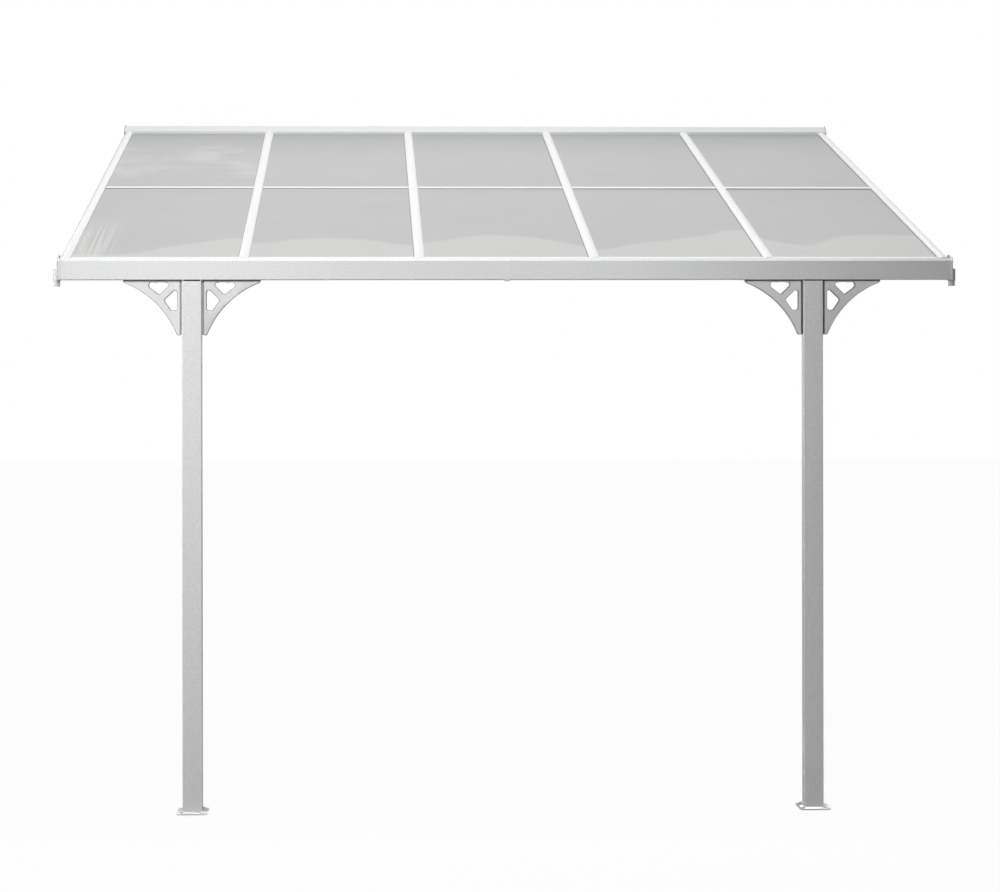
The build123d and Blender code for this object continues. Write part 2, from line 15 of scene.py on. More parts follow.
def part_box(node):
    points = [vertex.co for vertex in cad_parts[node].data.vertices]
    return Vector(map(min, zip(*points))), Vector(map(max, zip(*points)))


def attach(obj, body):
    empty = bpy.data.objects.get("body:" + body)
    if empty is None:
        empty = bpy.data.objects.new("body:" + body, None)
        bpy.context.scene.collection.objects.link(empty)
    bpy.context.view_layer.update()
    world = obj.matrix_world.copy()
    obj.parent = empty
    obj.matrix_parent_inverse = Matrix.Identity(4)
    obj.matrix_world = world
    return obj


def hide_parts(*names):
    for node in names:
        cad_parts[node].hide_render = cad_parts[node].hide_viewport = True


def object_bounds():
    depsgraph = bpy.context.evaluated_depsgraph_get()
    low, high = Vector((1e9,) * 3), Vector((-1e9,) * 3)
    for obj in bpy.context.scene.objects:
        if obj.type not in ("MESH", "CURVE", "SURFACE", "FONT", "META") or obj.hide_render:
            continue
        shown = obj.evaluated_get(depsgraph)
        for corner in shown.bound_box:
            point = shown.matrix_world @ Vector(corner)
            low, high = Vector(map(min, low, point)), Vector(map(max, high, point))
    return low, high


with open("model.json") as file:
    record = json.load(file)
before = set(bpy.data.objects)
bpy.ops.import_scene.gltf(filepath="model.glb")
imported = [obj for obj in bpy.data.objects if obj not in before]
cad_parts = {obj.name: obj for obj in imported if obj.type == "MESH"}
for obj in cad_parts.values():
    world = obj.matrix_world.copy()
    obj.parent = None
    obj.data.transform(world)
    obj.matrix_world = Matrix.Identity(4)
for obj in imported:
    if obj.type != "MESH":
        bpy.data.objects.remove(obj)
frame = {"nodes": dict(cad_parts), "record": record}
cad_low, cad_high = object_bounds()
print("nodes:", len(frame["nodes"]), "box:", [round(v, 3) for v in (cad_high - cad_low)])

# %% [markdown]
# ## Camera
# The picture was taken from in front, a little left of the middle and 1.6 m above the foot plates, from
# about eleven metres away, so the lens is long. The camera could be tilted down to fit the feet in, but
# then the posts would lean. Here it looks level, so they stay upright, and the frame is shifted down a
# little instead, as an architect's lens does.

# %% Camera
MOUNT_HEIGHT = 2.535
IMAGE_WIDTH, IMAGE_HEIGHT = 1000, 892
FOCAL_PX = 3053.0
PRINCIPAL_PX = (500.0, 346.7)
CAMERA_PLACE = Vector((-0.493, -13.537, 1.614 - MOUNT_HEIGHT))
CAMERA_YAW, CAMERA_PITCH, CAMERA_ROLL = -2.52, 0.0, -0.085


def make_camera():
    """A level camera at the picture's place, with its focal length in pixels turned into a lens."""
    data = bpy.data.cameras.new("camera")
    data.sensor_width = 36.0
    data.lens = FOCAL_PX / IMAGE_WIDTH * data.sensor_width
    data.shift_x = (IMAGE_WIDTH / 2 - PRINCIPAL_PX[0]) / IMAGE_WIDTH
    data.shift_y = (PRINCIPAL_PX[1] - IMAGE_HEIGHT / 2) / IMAGE_WIDTH
    data.clip_end = 200.0
    camera = bpy.data.objects.new("camera", data)
    bpy.context.scene.collection.objects.link(camera)
    turn = (Matrix.Rotation(math.radians(CAMERA_YAW), 4, "Z")
            @ Matrix.Rotation(math.radians(90 + CAMERA_PITCH), 4, "X")
            @ Matrix.Rotation(math.radians(CAMERA_ROLL), 4, "Z"))
    camera.matrix_world = Matrix.Translation(CAMERA_PLACE) @ turn
    bpy.context.scene.camera = camera
    return camera


camera = make_camera()
print("lens:", round(camera.data.lens, 1), "mm, shift:", round(camera.data.shift_y, 3))

# %% [markdown]
# ## Shader maths
# Node trees are easier to read as sums. A small class wraps a socket, so that noise * 0.1 + 0.5 adds
# the Math nodes by itself. Anything that isn't arithmetic comes from its one method that makes any node.


# %% Shader maths
class Shade:
    """A socket in a material's tree, with arithmetic that adds Math nodes."""

    def __init__(self, tree, socket=None):
        self.tree = tree
        self.socket = socket

    def node(self, kind, settings=None, inputs=None):
        """Adds a node, applies its settings, fills its inputs and returns its outputs as Shades."""
        made = self.tree.nodes.new(kind)
        for name, value in (settings or {}).items():
            if name == "stops":
                self.set_stops(made.color_ramp, value)
            else:
                setattr(made, name, value)
        for name, value in (inputs or {}).items():
            self.feed(made.inputs[name], value)
        return [Shade(self.tree, socket) for socket in made.outputs]

    def set_stops(self, ramp, stops):
        """Gives a ramp its stops, as pairs of a position and a grey value, joined by a smooth curve."""
        ramp.interpolation = "CARDINAL"
        ramp.elements.remove(ramp.elements[1])
        ramp.elements[0].position = stops[0][0]
        for position, value in stops[1:]:
            ramp.elements.new(position)
        for element, (position, value) in zip(ramp.elements, stops):
            element.color = (value, value, value, 1.0)

    def feed(self, target, value):
        """Links a Shade to a target socket, or sets a plain value on it."""
        if isinstance(value, Shade):
            self.tree.links.new(value.socket, target)
        else:
            target.default_value = value

    def math(self, operation, first, second):
        return self.node("ShaderNodeMath", {"operation": operation}, {0: first, 1: second})[0]

    def __add__(self, other):
        return self.math("ADD", self, other)

    def __radd__(self, other):
        return self.math("ADD", other, self)

    def __sub__(self, other):
        return self.math("SUBTRACT", self, other)

    def __rsub__(self, other):
        return self.math("SUBTRACT", other, self)

    def __mul__(self, other):
        return self.math("MULTIPLY", self, other)

    def __rmul__(self, other):
        return self.math("MULTIPLY", other, self)


def new_material(name):
    """An empty material: its wrapped tree and its Principled shader, already joined to the output."""
    material = bpy.data.materials.new(name)
    material.use_nodes = True
    tree = material.node_tree
    tree.nodes.clear()
    shader = tree.nodes.new("ShaderNodeBsdfPrincipled")
    output = tree.nodes.new("ShaderNodeOutputMaterial")
    tree.links.new(shader.outputs["BSDF"], output.inputs["Surface"])
    return material, Shade(tree), shader


def place_of(paint):
    """Object coordinates, output 3 of the node, in metres in the cover's own frame."""
    return paint.node("ShaderNodeTexCoord")[3]


def noise(paint, scale, detail=3.0, stretch=(1.0, 1.0, 1.0), roughness=0.5):
    """Noise on Object coordinates, in waves per metre, from 0 to 1."""
    mapped = paint.node("ShaderNodeMapping", {}, {"Vector": place_of(paint), "Scale": stretch})[0]
    settings = {"Vector": mapped, "Scale": scale, "Detail": detail, "Roughness": roughness}
    return paint.node("ShaderNodeTexNoise", {}, settings)[0]


def mix_colour(paint, factor, low, high):
    """Colour that goes from low to high with a factor: a colour mix has sockets 0, 6 and 7 and output 2."""
    return paint.node("ShaderNodeMix", {"data_type": "RGBA"}, {0: factor, 6: low, 7: high})[2]


def step_up(paint, value, start, end):
    """Soft step from 0 at start to 1 at end."""
    limits = {"Value": value, "From Min": start, "From Max": end}
    return paint.node("ShaderNodeMapRange", {"interpolation_type": "SMOOTHSTEP"}, limits)[0]


def bump(paint, height, strength, distance):
    """Normal from a height, in metres."""
    return paint.node("ShaderNodeBump", {}, {"Height": height, "Strength": strength, "Distance": distance})[0]


print("shader helpers ready")

# %% [markdown]
# ## Powder coat
# The aluminium profiles are powder coated white. A powder coat isn't smooth: it has a fine orange peel
# and a soft shine. Rain leaves faint grey streaks that run down. A picture of a coat would blur close
# up, so noise makes it, stretched in Z for the streaks. The coat is a little worn, with fine specks.

# %% Powder coat
COAT_COLOURS = {
    # name: clean, washed by rain
    "white_powder_coat": ((0.86, 0.865, 0.865, 1.0), (0.80, 0.81, 0.812, 1.0)),
    # the rail's greyer colours are painted shade
    "rail_painted_shade_coat": ((0.71, 0.715, 0.715, 1.0), (0.65, 0.66, 0.662, 1.0)),
    "foot_powder_coat": ((0.84, 0.85, 0.85, 1.0), (0.72, 0.725, 0.72, 1.0)),
}
SPECK_COAT = (0.73, 0.74, 0.74, 1.0)
COAT_ROUGHNESS = 0.38
FOOT_COAT_ROUGHNESS = 0.44


def powder_coat(name, roughness=COAT_ROUGHNESS):
    """A powder coat in its two colours, with streaks, specks and an orange peel."""
    material, paint, shader = new_material(name)
    clean, worn = COAT_COLOURS[name]
    film = noise(paint, 1.6, 4.0)
    streaks = noise(paint, 9.0, 3.0, (1.0, 1.0, 0.12))
    washed = mix_colour(paint, film * 0.45 + streaks * 0.35, clean, worn)
    specks = step_up(paint, noise(paint, 240.0, 3.0), 0.42, 0.70)
    paint.feed(shader.inputs["Base Color"], mix_colour(paint, specks, washed, SPECK_COAT))
    paint.feed(shader.inputs["Roughness"], noise(paint, 30.0, 2.0) * 0.12 + (roughness - 0.06))
    peel = noise(paint, 900.0, 2.0)
    paint.feed(shader.inputs["Normal"], bump(paint, peel, 0.25, 0.0002))
    return material


white_coat = powder_coat("white_powder_coat")
shaded_rail_coat = powder_coat("rail_painted_shade_coat")
foot_coat = powder_coat("foot_powder_coat", FOOT_COAT_ROUGHNESS)
print("made", white_coat.name, shaded_rail_coat.name, foot_coat.name)

# %% [markdown]
# ## Moulded plastic
# The brackets, end caps and gutter joiner are moulded in white plastic, a little yellower and duller than the
# coat. They could share its material, but a mould leaves a finer grain than a powder coat, and rain no
# streaks on such small parts. The plugs on the posts are grey. The darker copies of the white plastic on
# edges and walls, the dark tongues in the brackets' gaps and the seals' grey are painted shade.


# %% Moulded plastic
def moulded(name, colour, worn, roughness):
    """A moulded plastic that wears from one colour to another."""
    material, paint, shader = new_material(name)
    factor = noise(paint, 3.0, 3.0) * 0.6 + noise(paint, 55.0, 2.0) * 0.2
    paint.feed(shader.inputs["Base Color"], mix_colour(paint, factor, colour, worn))
    paint.feed(shader.inputs["Roughness"], noise(paint, 60.0, 2.0) * 0.1 + roughness)
    grain = noise(paint, 1800.0, 1.0)
    paint.feed(shader.inputs["Normal"], bump(paint, grain, 0.2, 0.00015))
    return material


white_plastic = moulded("white_moulded_plastic", (0.84, 0.845, 0.84, 1.0), (0.79, 0.80, 0.79, 1.0), 0.42)
# The edge and rim finishes are darker copies of the white plastic: painted shade.
edge_shade_plastic = moulded("white_plastic_painted_edge_shade", (0.72, 0.725, 0.72, 1.0), (0.66, 0.665, 0.66, 1.0), 0.48)
rim_shade_plastic = moulded("white_plastic_painted_rim_shade", (0.22, 0.225, 0.225, 1.0), (0.17, 0.175, 0.175, 1.0), 0.5)
# Grey plastic is the plugs' own grey, and on the right brackets' tongues a painted shadow.
grey_plastic = moulded("grey_plastic_and_painted_shadow", (0.13, 0.135, 0.14, 1.0), (0.10, 0.105, 0.11, 1.0), 0.5)
# The tongue finish is a paler painted shadow for the left brackets' gaps.
tongue_painted_shadow_plastic = moulded("tongue_painted_shadow_plastic", (0.40, 0.405, 0.41, 1.0), (0.34, 0.345, 0.35, 1.0), 0.5)
rubber = moulded("seal_rubber", (0.17, 0.175, 0.18, 1.0), (0.12, 0.125, 0.13, 1.0), 0.6)
# The pale seal rubber's grey is painted shade beside the caps and under the joint.
painted_shade_rubber = moulded("painted_shade_seal_rubber", (0.32, 0.325, 0.33, 1.0), (0.24, 0.245, 0.25, 1.0), 0.6)
print("made", white_plastic.name, edge_shade_plastic.name, rim_shade_plastic.name, grey_plastic.name, rubber.name)

# %% [markdown]
# ## Roof sheets
# The sheets are twin-wall polycarbonate: two thin skins with a rib every centimetre or so. Light comes
# through them milky grey. The ribs could be modelled, but hundreds of them would make heavy pieces, so a wave
# in X paints them down the slope. The upper ends are painted darker, as shade under the wall rail's hood, and
# a painted shadow lies under the joint of the two rows. Each mark is a mask from 0 to 1 that mixes in its own
# colour.

# %% Sheet skins and painted shade
RIB_PITCH = 0.0105
SHEET_GREY = (0.372, 0.380, 0.377, 1.0)
SHEET_HAZE = (0.432, 0.440, 0.435, 1.0)
# The next colour is painted shade under the hood, and the one after it a painted shadow in front of the
# joint.
SHEET_SHADE = (0.315, 0.321, 0.321, 1.0)
JOINT_SHADOW_COLOUR = (0.20, 0.205, 0.205, 1.0)
HOOD_SHADE = (-0.75, -0.06)
JOINT_SHADOW_BELOW = (0.040, 0.012)
JOINT_SHADOW_ABOVE = 0.03
JOINT_SHADOW_ACROSS = (-0.7, 1.3)


def sheet_skins(paint, x, y):
    """Milky grey skins with painted shade under the hood, and the wave of their ribs."""
    wave = paint.node("ShaderNodeMath", {"operation": "SINE"}, {0: x * (2 * math.pi / RIB_PITCH)})[0]
    ribs = wave * 0.5 + 0.5
    milky = mix_colour(paint, noise(paint, 1.1, 3.0) * 0.7 + ribs * 0.12, SHEET_GREY, SHEET_HAZE)
    return mix_colour(paint, step_up(paint, y, *HOOD_SHADE) * 0.8, milky, SHEET_SHADE), ribs


def joint_painted_shadow(paint, x, y):
    """Mask of the painted shadow in front of the joint between the two rows, stronger to the right."""
    joint_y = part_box("mid_joints")[0].y
    below = step_up(paint, y, joint_y - JOINT_SHADOW_BELOW[0], joint_y - JOINT_SHADOW_BELOW[1])
    above = step_up(paint, y * -1.0, -joint_y - JOINT_SHADOW_ABOVE, -joint_y)
    return below * above * step_up(paint, x, *JOINT_SHADOW_ACROSS) * 0.8


# %% [markdown]
# ## The painted reflection band
# A warm, paler band on the lower ends is a painted reflection. Each sheet sags in its own way between its
# rafters, so the band is higher or lower from place to place. Noise alone could make its edge, but not at the
# heights that the picture shows, so a ramp over X holds the depth at five places of each bay, and weak noise
# only roughens it.

# %% The painted reflection band
BAY_PITCH = 0.61
# A painted reflection, warm and paler, on the sheets' lower ends.
PAINTED_REFLECTION_BAND = (0.60, 0.592, 0.575, 1.0)
BAND_RANGE = 0.6
BAND_WOBBLE = 0.10
BAND_BLUR = 0.05
BAND_PLACES = (0.05, 0.275, 0.5, 0.725, 0.95)
BAND_DEPTHS = (
    (0.10, 0.10, 0.20, 0.33, 0.40), (0.31, 0.38, 0.40, 0.35, 0.25), (0.31, 0.42, 0.45, 0.39, 0.26),
    (0.16, 0.28, 0.36, 0.46, 0.54), (0.38, 0.27, 0.42, 0.47, 0.46),
)
ROOF_WIDTH = len(BAND_DEPTHS) * BAY_PITCH


def band_stops():
    """Stops of the ramp that holds the band's depth: five to a bay, from the left to the right."""
    stops = []
    for bay, depths in enumerate(BAND_DEPTHS):
        for place, depth in zip(BAND_PLACES, depths):
            stops.append(((bay + place) / len(BAND_DEPTHS), depth / BAND_RANGE))
    return stops


def painted_reflection_band(paint, x, uphill):
    """Mask of the painted reflection band, from the distance uphill of the sheets' lower edge."""
    across = (x + ROOF_WIDTH / 2) * (1 / ROOF_WIDTH)
    depth = paint.node("ShaderNodeValToRGB", {"stops": band_stops()}, {"Fac": across})[0] * BAND_RANGE
    edge = depth + noise(paint, 2.4, 2.0) * BAND_WOBBLE - BAND_WOBBLE / 2
    return step_up(paint, edge - uphill, 0.0, BAND_BLUR)


print("band stops:", len(band_stops()))

# %% [markdown]
# ## Painted reflections and runs
# The first upper sheet on the left has cloudy marks that are painted reflections, and the lower one has thin
# paler runs in its corner. They could be painted on an image, but noise behind a mask of their place needs
# none. The runs are noise drawn out along the slope. As Z also changes along the slope, it is left out of
# that noise, or the runs would break up.

# %% Painted reflections and runs
# Colour of the painted reflection clouds and of the paler runs.
REFLECTION_AND_RUN_COLOUR = (0.64, 0.63, 0.61, 1.0)
CLOUD_LEFT_OF = (0.85, 1.0)
CLOUD_FROM = (-1.45, -1.1)
CLOUD_TO = (0.25, 0.6)
RUNS_LEFT_OF = (1.34, 1.44)
RUNS_UP_TO = (-0.95, -0.35)


def reflection_clouds_and_runs(paint, x, y, uphill):
    """Mask of the painted reflection clouds on the upper sheet of the first bay and of the runs on the lower
    one.
    """
    first_bay = step_up(paint, x * -1.0, *CLOUD_LEFT_OF)
    corner = first_bay * step_up(paint, y, *CLOUD_FROM) * step_up(paint, y * -1.0, *CLOUD_TO)
    clouds = step_up(paint, noise(paint, 3.0, 5.0, (1.0, 0.6, 1.0), 0.62), 0.44, 0.64)
    streaks = step_up(paint, noise(paint, 7.0, 3.0, (0.6, 2.0, 1.0)), 0.52, 0.66)
    low_corner = step_up(paint, x * -1.0, *RUNS_LEFT_OF) * step_up(paint, uphill * -1.0, *RUNS_UP_TO)
    runs = step_up(paint, noise(paint, 110.0, 2.0, (1.0, 0.012, 0.0)), 0.36, 0.62) * low_corner
    return (clouds * 0.7 + streaks * 0.3) * corner + runs * 1.1


def roof_sheet():
    """The sheets' material: skins, then the painted shadow at the joint, then the painted reflection band,
    then the painted reflections and runs.
    """
    material, paint, shader = new_material("twin_wall_sheet")
    x, y, _ = paint.node("ShaderNodeSeparateXYZ", {}, {"Vector": place_of(paint)})
    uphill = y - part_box("roof_sheet_front_1")[0].y
    skins, ribs = sheet_skins(paint, x, y)
    # Painted shadow at the joint, then a painted reflection band, then painted reflections and runs.
    joint_shadowed = mix_colour(paint, joint_painted_shadow(paint, x, y), skins, JOINT_SHADOW_COLOUR)
    banded = mix_colour(paint, painted_reflection_band(paint, x, uphill) * 0.46, joint_shadowed, PAINTED_REFLECTION_BAND)
    marked = mix_colour(paint, reflection_clouds_and_runs(paint, x, y, uphill) * 0.5, banded, REFLECTION_AND_RUN_COLOUR)
    paint.feed(shader.inputs["Base Color"], marked)
    paint.feed(shader.inputs["Roughness"], noise(paint, 5.0, 3.0) * 0.08 + 0.30)
    shader.inputs["Specular IOR Level"].default_value = 0.25
    paint.feed(shader.inputs["Normal"], bump(paint, ribs, 0.15, 0.0003))
    return material


sheet_finish = roof_sheet()
print("made", sheet_finish.name)

# %% [markdown]
# ## Metals
# The key plate behind the wall rail is bare aluminium, and the screws are stainless steel. Both have a
# brushed look. It could come from scratches in a bump, but noise that is drawn out along one axis and
# changes the colour and the shine is enough for such small parts.


# %% Metals
def bare_metal(name, colour, roughness):
    """A brushed metal."""
    material, paint, shader = new_material(name)
    brushed = noise(paint, 120.0, 3.0, (0.05, 1.0, 1.0))
    dull = tuple(0.85 * channel for channel in colour[:3]) + (1.0,)
    paint.feed(shader.inputs["Base Color"], mix_colour(paint, brushed, colour, dull))
    shader.inputs["Metallic"].default_value = 1.0
    paint.feed(shader.inputs["Roughness"], brushed * 0.15 + roughness)
    return material


mill_aluminium = bare_metal("mill_aluminium", (0.78, 0.79, 0.80, 1.0), 0.3)
stainless = bare_metal("stainless_screw", (0.62, 0.63, 0.64, 1.0), 0.25)
print("made", mill_aluminium.name, stainless.name)

# %% [markdown]
# ## Dress the solids
# Each node keeps its mesh and only changes its material. The record says which slot a node belongs to, so a
# table from slots to finishes dresses all of them. In the picture the wall rail is a little greyer than the
# other profiles, so its two halves get a greyer copy of the coat, which is painted shade.

# %% Dress the solids
FINISHES = {
    "white_profile": white_coat,
    "roof_sheet": sheet_finish,
    "white_plastic": white_plastic,
    "grey_plastic": grey_plastic,
    "mill_aluminium": mill_aluminium,
    "foot_steel": foot_coat,
}
for subpart in frame["record"]["subparts"]:
    solid = frame["nodes"][subpart["node"]]
    solid.data.materials.clear()
    solid.data.materials.append(FINISHES[subpart["material_slot"]])
# The rail's greyer coat is painted shade.
for name in ("wall_rail_left", "wall_rail_right"):
    frame["nodes"][name].data.materials[0] = shaded_rail_coat

# %% [markdown]
# ## Helpers for new pieces
# Every added piece starts as a bmesh, gets its place in its mesh, and rides with the cover. On the roof a
# small shape is laid by a matrix whose Y runs uphill and whose Z stands square to the sheets, so seals
# and screws are drawn flat and then set on the slope.

# %% Helpers for new pieces
SLOPE = math.radians(12.5)
SHEET_TOP_AT_WALL = 0.031


def new_piece(name, bm, slot, *finishes):
    """Makes an object of a bmesh, with its finishes, that rides with the cover; its slot is not used."""
    mesh = bpy.data.meshes.new(name)
    bm.to_mesh(mesh)
    bm.free()
    for finish in finishes:
        mesh.materials.append(finish)
    piece = bpy.data.objects.new(name, mesh)
    bpy.context.scene.collection.objects.link(piece)
    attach(piece, "root")
    print("made", name, "faces:", len(mesh.polygons))
    return piece


def roof_height(y, above=0.0):
    """Height at y of the sheets' top face, or of a plane that lies parallel to it."""
    return SHEET_TOP_AT_WALL + y * math.tan(SLOPE) + above / math.cos(SLOPE)


def on_roof(x, y, above=0.0):
    """Place on the slope: local Y runs uphill and local Z stands square to the sheets."""
    return Matrix.Translation((x, y, roof_height(y, above))) @ Matrix.Rotation(SLOPE, 4, "X")


def add_bar(bm, size, place, edge):
    """Adds a bar of a size at a place, with rounded edges."""
    made = bmesh.ops.create_cube(bm, size=1.0, matrix=place @ Matrix.Diagonal((*size, 1.0)))
    edges = list({line for vert in made["verts"] for line in vert.link_edges})
    bmesh.ops.bevel(bm, geom=edges, offset=edge, segments=2, profile=0.5, affect="EDGES", material=-1)


def template(name, bm):
    """Keeps a small shape as a mesh, to be stamped many times."""
    bmesh.ops.remove_doubles(bm, verts=bm.verts, dist=1e-6)
    bmesh.ops.recalc_face_normals(bm, faces=bm.faces)
    mesh = bpy.data.meshes.new(name)
    bm.to_mesh(mesh)
    bm.free()
    return mesh


def stamp(bm, shape, place):
    """Adds a copy of a small shape to a bmesh at a place."""
    before = len(bm.verts)
    bm.from_mesh(shape)
    bm.verts.ensure_lookup_table()
    bmesh.ops.transform(bm, matrix=place, verts=bm.verts[before:])


print("roof height at the gutter:", round(roof_height(cad_low.y), 3))

# %% [markdown]
# ## Seals along the caps
# An arched cap presses on the sheet with a soft rubber lip. In the picture it shows as a thin dark line at
# the left side of each cap, where the cap's side is in shade, so only that side has one here, and its grey is
# painted shade. It could be a stripe in the sheet's colour, but a real strip also catches light and shade.
# The strips stop at the joint between the two rows of sheets and at the lower end profiles.

# %% Seals along the caps
RAFTER_NAMES = ["rafter_left", "rafter_1", "rafter_2", "rafter_3", "rafter_4", "rafter_right"]
SEAL_WIDTH = 0.0030
SEAL_RISE = 0.0014
SEAL_EDGE = 0.0004
HOOD_FRONT_Y = -0.0625
JOINT_FLANGE = 0.038

joint_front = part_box("mid_joints")[0].y
joint_back = joint_front + JOINT_FLANGE * math.cos(SLOPE)
end_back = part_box("end_profiles")[1].y
cap_boxes = [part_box(f"{name}_cap") for name in RAFTER_NAMES]


def add_seal_up_roof(bm, x, y_front, y_back):
    """Adds a thin seal that runs up the slope."""
    size = (SEAL_WIDTH, (y_back - y_front) / math.cos(SLOPE), SEAL_RISE)
    add_bar(bm, size, on_roof(x, (y_front + y_back) / 2, SEAL_RISE / 2), SEAL_EDGE)


# Dark seals at the caps' left sides: their grey is painted shade.
seals = bmesh.new()
for low, high in cap_boxes[1:]:
    seal_x = low.x - SEAL_WIDTH / 2
    add_seal_up_roof(seals, seal_x, joint_back, HOOD_FRONT_Y)
    add_seal_up_roof(seals, seal_x, end_back, joint_front)
new_piece("cap_seals_painted_shade", seals, "grey_plastic", painted_shade_rubber)

# %% [markdown]
# ## Seals across the bays
# The joint between the two sheets of a bay has a soft lip along its lower edge, between the caps, and its
# grey is a painted shadow under the joint. It is the same kind of bar as the seals along the caps, turned
# across the slope.

# %% Seals across the bays
BAY_GAP = 0.0026
LIP_DEPTH = 0.0022
LIP_RISE = 0.0019


def add_seal_across(bm, bay, y):
    """Adds a thin seal across one bay."""
    start = cap_boxes[bay][1].x + BAY_GAP
    end = cap_boxes[bay + 1][0].x - BAY_GAP
    place = on_roof((start + end) / 2, y, LIP_RISE / 2)
    add_bar(bm, (end - start, LIP_DEPTH, LIP_RISE), place, SEAL_EDGE)


# The lips' grey is a painted shadow in front of the joint.
cross_seals_painted_shadow = bmesh.new()
for bay in range(len(cap_boxes) - 1):
    add_seal_across(cross_seals_painted_shadow, bay, joint_front - LIP_DEPTH / 2)
new_piece("cross_seals_painted_shadow", cross_seals_painted_shadow, "grey_plastic", painted_shade_rubber)

# %% [markdown]
# ## Trims at the roof's sides
# The first and the last cap stand at the edge of the roof. Outside each, a grey strip closes the side of
# the sheet and the cap, so the roof's outline is a thin grey line. Paint on the cap's side would hardly
# show from in front, but a strip also shows as a thin edge.

# %% Trims at the roof's sides
TRIM_WIDTH = 0.0024
TRIM_LOW, TRIM_HIGH = -0.006, 0.0025

trims = bmesh.new()
for outer_x in (cap_boxes[0][0].x - TRIM_WIDTH / 2, cap_boxes[-1][1].x + TRIM_WIDTH / 2):
    size = (TRIM_WIDTH, (HOOD_FRONT_Y - end_back) / math.cos(SLOPE), TRIM_HIGH - TRIM_LOW)
    place = on_roof(outer_x, (end_back + HOOD_FRONT_Y) / 2, (TRIM_LOW + TRIM_HIGH) / 2)
    add_bar(trims, size, place, SEAL_EDGE)
new_piece("side_trims", trims, "grey_plastic", rubber)

# %% [markdown]
# ## Plugs in the caps' lower ends
# A moulded plug closes the hollow lower end of each arched cap, above the gutter's lip. Its outline could
# be cut from the cap's end, but that is open, so it is drawn anew: one vertex is spun about the arch's
# centre, which gives a true circle, and two more points make the flat foot.

# %% Plugs in the caps' lower ends
CAP_SHOULDER = 0.0045
CAP_RISE = 0.010
PLUG_THICKNESS = 0.0015
ARCH_STEPS = 14


def add_cap_plug(bm, low, high):
    """Adds a thin plug with a cap's outline to its lower end."""
    half = (high.x - low.x) / 2
    bulge = CAP_RISE - CAP_SHOULDER
    radius = (half ** 2 + bulge ** 2) / (2 * bulge)
    angle = 2 * math.asin(half / radius)
    shoulder = bm.verts.new((half, 0.0, CAP_SHOULDER))
    spun = bmesh.ops.spin(bm, geom=[shoulder], cent=(0, 0, CAP_RISE - radius), axis=(0, -1, 0), angle=angle,
                          steps=ARCH_STEPS, use_merge=False)
    last = spun["geom_last"][0]
    arch = [shoulder]
    while arch[-1] != last:
        steps = [line.other_vert(arch[-1]) for line in arch[-1].link_edges]
        arch.append(next(vert for vert in steps if vert not in arch))
    foot = [bm.verts.new((-half, 0.0, 0.0)), bm.verts.new((half, 0.0, 0.0))]
    face = bm.faces.new(arch + foot)
    pushed = bmesh.ops.extrude_face_region(bm, geom=[face])["geom"]
    moved = [item for item in pushed if isinstance(item, bmesh.types.BMVert)]
    bmesh.ops.translate(bm, vec=(0, -PLUG_THICKNESS, 0), verts=moved)
    place = Matrix.Translation(((low.x + high.x) / 2, low.y, roof_height(low.y)))
    bmesh.ops.transform(bm, matrix=place, verts=arch + foot + moved)


plugs = bmesh.new()
for low, high in cap_boxes:
    add_cap_plug(plugs, low, high)
bmesh.ops.recalc_face_normals(plugs, faces=plugs.faces)
new_piece("cap_plugs", plugs, "white_plastic", white_plastic)

# %% [markdown]
# ## Softened mouldings
# Moulded plastic has no knife edges. The end caps and the joiner are copies of the solids with their sharp
# outer edges bevelled. The copy is merged and its flat triangles are joined first, so that the bevel meets
# clean edges. A bracket has many short edges round its windows, where a bevel stays too thin, so its faces
# are inset instead and the outer loop is pushed back: that makes a chamfer. The chamfer, the bracket's walls
# and the end caps' edges get darker copies of the white plastic, which is painted shade. The tongue in the
# shadow gap is dark, a painted shadow, and paler on the left brackets, as in the picture. The faces reach a
# little nearer to the gutter than the solid's, so that the gap is a fine line.

# %% Softened mouldings
SHARP_ANGLE = math.radians(40)
WALL_FACING = 0.5
RIM_FACING = 0.95


def merged_copy(node_name):
    """A bmesh of a node with its flat triangles joined."""
    bm = bmesh.new()
    bm.from_mesh(frame["nodes"][node_name].data)
    bmesh.ops.remove_doubles(bm, verts=bm.verts, dist=1e-6)
    bmesh.ops.dissolve_limit(bm, angle_limit=math.radians(1), verts=bm.verts, edges=bm.edges)
    return bm


def softened(node_name, offset, slot, *finishes, choose=None):
    """Replaces a node with a copy of it whose sharp outer edges are bevelled."""
    bm = merged_copy(node_name)
    sharp = [line for line in bm.edges
             if line.is_manifold and line.is_convex and line.calc_face_angle() > SHARP_ANGLE]
    bmesh.ops.bevel(bm, geom=sharp, offset=offset, segments=2, profile=0.5, affect="EDGES", material=-1,
                    clamp_overlap=True)
    for face in bm.faces:
        face.material_index = choose(face) if choose else 0
    return replace_node(node_name, bm, slot, *finishes)


def replace_node(node_name, bm, slot, *finishes):
    """Makes a piece that stands in for a node."""
    piece = new_piece(f"{node_name}_moulding", bm, slot, *finishes)
    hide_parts(node_name)
    return piece


post_y = sum(corner.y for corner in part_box("post_left")) / 2
TONGUE_HALF = 0.0105
CHAMFER_WIDTH = 0.0016
CHAMFER_DEPTH = 0.0009
TOP_EDGE_DROP = (0.003, 0.0075)
TOP_EDGE_LIFT = 0.0018


def bracket_finish(face):
    """0 on a bracket's face, 1 on its walls and 2 on its chamfer, both painted shade, and 3 on the tongue, a
    painted shadow in the gap.
    """
    if abs(face.normal.y) < WALL_FACING:
        return 1
    if abs(face.normal.y) < RIM_FACING:
        return 2
    return 3 if abs(face.calc_center_median().y - post_y) < TONGUE_HALF else 0


